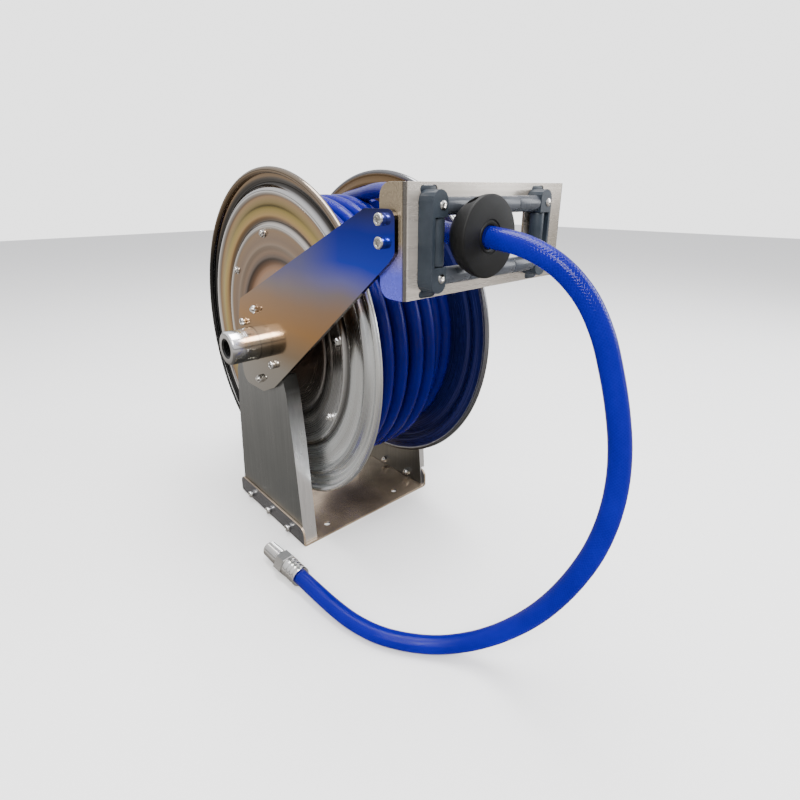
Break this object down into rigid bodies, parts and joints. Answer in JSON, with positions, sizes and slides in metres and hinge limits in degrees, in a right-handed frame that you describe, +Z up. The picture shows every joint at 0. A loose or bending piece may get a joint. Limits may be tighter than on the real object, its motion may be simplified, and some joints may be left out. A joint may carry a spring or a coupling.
{
  "type": "hose reel",
  "caption": "Spring-rewind hose reel: drum between two legs on a base plate, with a side arm that carries a four-way roller guide, a ball stop and a coupling on the free hose end.",
  "frame": {"origin": "centre of the underside of the base plate", "axes": "+X along the drum axis, away from the water inlet; -Y the way the hose leaves the guide; +Z up"},
  "size_m": [0.2975, 0.6709, 0.4819],
  "materials": {
    "satin_steel": "satin",
    "polished_steel": "polished",
    "bright_steel": "bright",
    "dark_plastic": "satin",
    "light_plastic": "gloss",
    "black_rubber": "matte",
    "blue_hose": "gloss",
    "bronze": "satin"
  },
  "bodies": {
    "frame": {"arbor_nut": "bright_steel", "arm_bolt_back": "bright_steel", "arm_bolt_front": "bright_steel", "arm_bolt_lower": "bright_steel", "arm_bolt_upper": "bright_steel", "base_bolt_left_back": "bright_steel", "base_bolt_left_front": "bright_steel", "base_bolt_left_middle": "bright_steel", "base_bolt_right_back": "bright_steel", "base_bolt_right_front": "bright_steel", "base_bolt_right_middle": "bright_steel", "base_plate": "satin_steel", "block_screw_left_lower": "bright_steel", "block_screw_left_upper": "bright_steel", "block_screw_right_lower": "bright_steel", "block_screw_right_upper": "bright_steel", "free_hose": "blue_hose", "guide_arm": "polished_steel", "guide_bolt_lower": "bright_steel", "guide_bolt_upper": "bright_steel", "guide_bracket": "polished_steel", "hose_ferrule": "bright_steel", "hose_fitting": "bright_steel", "hose_stop": "black_rubber", "hose_strand": "blue_hose", "left_bearing": "bronze", "left_leg": "satin_steel", "left_roller_pin": "bright_steel", "lower_roller_pin": "bright_steel", "pawl_pin": "bright_steel", "pawl_spring": "bright_steel", "power_spring": "satin_steel", "right_leg": "satin_steel", "right_roller_pin": "bright_steel", "roller_block_left": "dark_plastic", "roller_block_right": "dark_plastic", "spring_arbor": "satin_steel", "swivel_body": "bright_steel", "swivel_seal": "black_rubber", "upper_roller_pin": "bright_steel"},
    "drum": {"disc_left": "polished_steel", "disc_right": "polished_steel", "drum_core": "satin_steel", "drum_shaft": "satin_steel", "spring_case": "satin_steel", "ratchet_wheel": "satin_steel", "hose_elbow": "bright_steel", "hose_winding": "blue_hose", "right_bearing": "bronze"},
    "pawl": {"latch_pawl": "satin_steel"},
    "upper_roller_1": {"upper_roller_1": "light_plastic"},
    "upper_roller_2": {"upper_roller_2": "light_plastic"},
    "upper_roller_3": {"upper_roller_3": "light_plastic"},
    "upper_roller_4": {"upper_roller_4": "light_plastic"},
    "lower_roller_1": {"lower_roller_1": "light_plastic"},
    "lower_roller_2": {"lower_roller_2": "light_plastic"},
    "lower_roller_3": {"lower_roller_3": "light_plastic"},
    "lower_roller_4": {"lower_roller_4": "light_plastic"},
    "left_roller": {"left_roller": "dark_plastic"},
    "right_roller": {"right_roller": "dark_plastic"}
  },
  "joints": [
    {"name": "drum_spin", "type": "hinge", "parent": "frame", "child": "drum", "pos_m": [0.0085, 0, 0.267], "axis": [1, 0, 0], "continuous": true},
    {"name": "pawl_swing", "type": "hinge", "parent": "frame", "child": "pawl", "pos_m": [-0.0935, 0.0486, 0.2354], "axis": [1, 0, 0], "range_deg": [0, 10], "stiffness_Nm_per_rad": 0.05},
    {"name": "upper_roller_1_spin", "type": "hinge", "parent": "frame", "child": "upper_roller_1", "pos_m": [-0.0625, -0.2925, 0.4405], "axis": [1, 0, 0], "continuous": true},
    {"name": "upper_roller_2_spin", "type": "hinge", "parent": "frame", "child": "upper_roller_2", "pos_m": [-0.0296, -0.2925, 0.4405], "axis": [1, 0, 0], "continuous": true},
    {"name": "upper_roller_3_spin", "type": "hinge", "parent": "frame", "child": "upper_roller_3", "pos_m": [0.0034, -0.2925, 0.4405], "axis": [1, 0, 0], "continuous": true},
    {"name": "upper_roller_4_spin", "type": "hinge", "parent": "frame", "child": "upper_roller_4", "pos_m": [0.0363, -0.2925, 0.4405], "axis": [1, 0, 0], "continuous": true},
    {"name": "lower_roller_1_spin", "type": "hinge", "parent": "frame", "child": "lower_roller_1", "pos_m": [-0.0625, -0.2925, 0.3835], "axis": [1, 0, 0], "continuous": true},
    {"name": "lower_roller_2_spin", "type": "hinge", "parent": "frame", "child": "lower_roller_2", "pos_m": [-0.0296, -0.2925, 0.3835], "axis": [1, 0, 0], "continuous": true},
    {"name": "lower_roller_3_spin", "type": "hinge", "parent": "frame", "child": "lower_roller_3", "pos_m": [0.0034, -0.2925, 0.3835], "axis": [1, 0, 0], "continuous": true},
    {"name": "lower_roller_4_spin", "type": "hinge", "parent": "frame", "child": "lower_roller_4", "pos_m": [0.0363, -0.2925, 0.3835], "axis": [1, 0, 0], "continuous": true},
    {"name": "left_roller_spin", "type": "hinge", "parent": "frame", "child": "left_roller", "pos_m": [-0.085, -0.2925, 0.412], "axis": [0, 0, 1], "continuous": true},
    {"name": "right_roller_spin", "type": "hinge", "parent": "frame", "child": "right_roller", "pos_m": [0.0585, -0.2925, 0.412], "axis": [0, 0, 1], "continuous": true}
  ]
}
